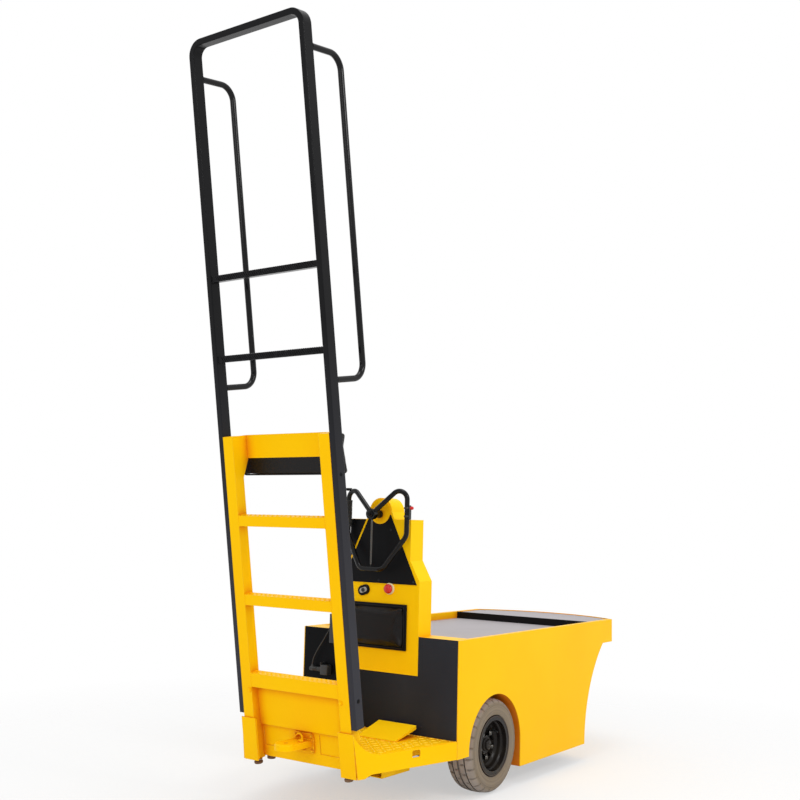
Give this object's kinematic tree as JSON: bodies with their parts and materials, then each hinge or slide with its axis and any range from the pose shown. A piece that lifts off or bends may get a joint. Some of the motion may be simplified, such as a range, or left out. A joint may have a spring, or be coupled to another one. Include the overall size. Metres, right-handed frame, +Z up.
{
  "type": "stand-up stock chaser with order-picking ladder",
  "caption": "Stand-up electric stock chaser with a low load deck, a stand-on platform, a steering console and a tall leaning ladder with handrails at the rear.",
  "frame": {"origin": "ground under the middle of the overall box", "axes": "+X forward from the ladder to the load deck, +Y to the left, +Z up"},
  "size_m": [2.6436, 0.838, 3.0712],
  "materials": {
    "yellow_paint": "gloss industrial enamel",
    "black_paint": "satin black enamel",
    "deck_grey": "grey deck coating",
    "chassis_black": "matt black",
    "battery_case": "matt",
    "black_vinyl": "grained vinyl",
    "black_rubber": "matt",
    "tyre_rubber": "dusty grey rubber",
    "black_plastic": "satin",
    "red_plastic": "gloss",
    "cord_sheath": "satin"
  },
  "bodies": {
    "chassis": {"side_panels": "yellow_paint", "wheel_arches": "yellow_paint", "front_fascia": "yellow_paint", "front_bumper": "yellow_paint", "deck_rim": "yellow_paint", "console": "yellow_paint", "column_boss": "yellow_paint", "platform_sides": "yellow_paint", "platform_floor": "yellow_paint", "tower_stiles": "yellow_paint", "tower_rungs": "yellow_paint", "rear_panel": "yellow_paint", "back_plate": "yellow_paint", "tow_hitch": "yellow_paint", "foot_pedal": "yellow_paint", "pedal_housing": "yellow_paint", "platform_rails": "yellow_paint", "rear_wall": "black_paint", "deck_riser": "black_paint", "ladder_loop": "black_paint", "ladder_rungs": "black_paint", "handrails": "black_paint", "dash_panel": "black_paint", "shoulder_panel": "black_paint", "load_deck": "deck_grey", "front_deck": "deck_grey", "chassis_frame": "chassis_black", "drive_axle": "chassis_black", "battery_pack": "battery_case", "backrest_pad": "black_vinyl", "knee_pad": "black_vinyl", "base_feet": "black_rubber", "cord_gland": "black_rubber", "key_switch": "black_plastic", "cord_box": "black_plastic", "cord_plug": "black_plastic", "wall_socket": "black_plastic", "stop_button": "red_plastic", "charger_cord": "cord_sheath"},
    "rear_left_roller": {"rear_wheel_left": "black_paint", "rear_tyre_left": "tyre_rubber"},
    "rear_right_roller": {"rear_wheel_right": "black_paint", "rear_tyre_right": "tyre_rubber"},
    "steering_fork": {"front_fork": "black_paint"},
    "front_roller": {"front_wheel": "black_paint", "front_tyre": "tyre_rubber"},
    "steering_bar": {"handlebar": "black_paint", "throttle_grip": "black_rubber", "thumb_switch": "black_plastic"}
  },
  "joints": [
    {"name": "rear_left_spin", "type": "hinge", "parent": "chassis", "child": "rear_left_roller", "pos_m": [-0.019, 0.348, 0.2], "axis": [0, 1, 0], "continuous": true},
    {"name": "rear_right_spin", "type": "hinge", "parent": "chassis", "child": "rear_right_roller", "pos_m": [-0.019, -0.348, 0.2], "axis": [0, 1, 0], "continuous": true},
    {"name": "fork_steer", "type": "hinge", "parent": "chassis", "child": "steering_fork", "pos_m": [0.60778, 0, 0.48], "axis": [0, 0, -1], "range_deg": [-50, 50]},
    {"name": "front_spin", "type": "hinge", "parent": "steering_fork", "child": "front_roller", "pos_m": [0.60778, 0, 0.2], "axis": [0, 1, 0], "continuous": true},
    {"name": "bar_turn", "type": "hinge", "parent": "chassis", "child": "steering_bar", "pos_m": [-0.36, 0, 1.188], "axis": [1, 0, 0], "range_deg": [-75, 75]}
  ],
  "couplings": [
    {"joint": "bar_turn", "follows": "fork_steer", "ratio": 1.5}
  ]
}
